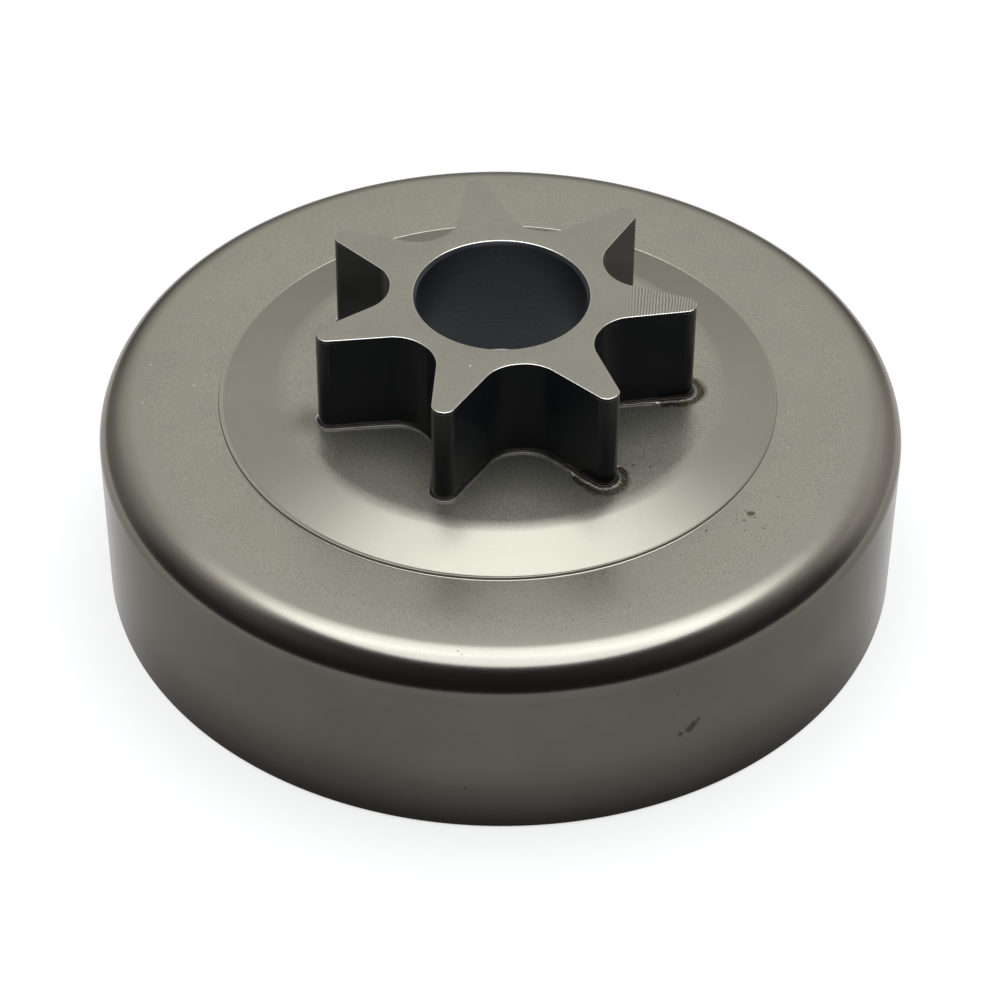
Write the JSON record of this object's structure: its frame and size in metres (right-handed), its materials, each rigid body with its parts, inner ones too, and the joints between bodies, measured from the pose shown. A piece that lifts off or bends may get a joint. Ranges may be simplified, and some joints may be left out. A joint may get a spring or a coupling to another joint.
{
  "type": "chainsaw clutch drum",
  "caption": "Drawn steel cup with a rounded edge and raised seat, carrying a brazed spur sprocket with a bearing bore; clutch shoes grip its inner wall to drive a saw chain.",
  "frame": {"origin": "centre of the rim's plane, on the bore axis, where the drum stands", "axes": "+Z along the bore from the open rim towards the sprocket, +X through the middle of one tooth"},
  "size_m": [0.08, 0.08, 0.0327],
  "materials": {
    "cup_steel": "warm grey satin with a fine blasted grain",
    "sprocket_steel": "hardened dark flanks and bore, with a ground grey top",
    "braze_filler": "rough and heat-darkened"
  },
  "bodies": {
    "root": {"drum_cup": "cup_steel", "spur_sprocket": "sprocket_steel", "braze_bead": "braze_filler"}
  },
  "joints": []
}
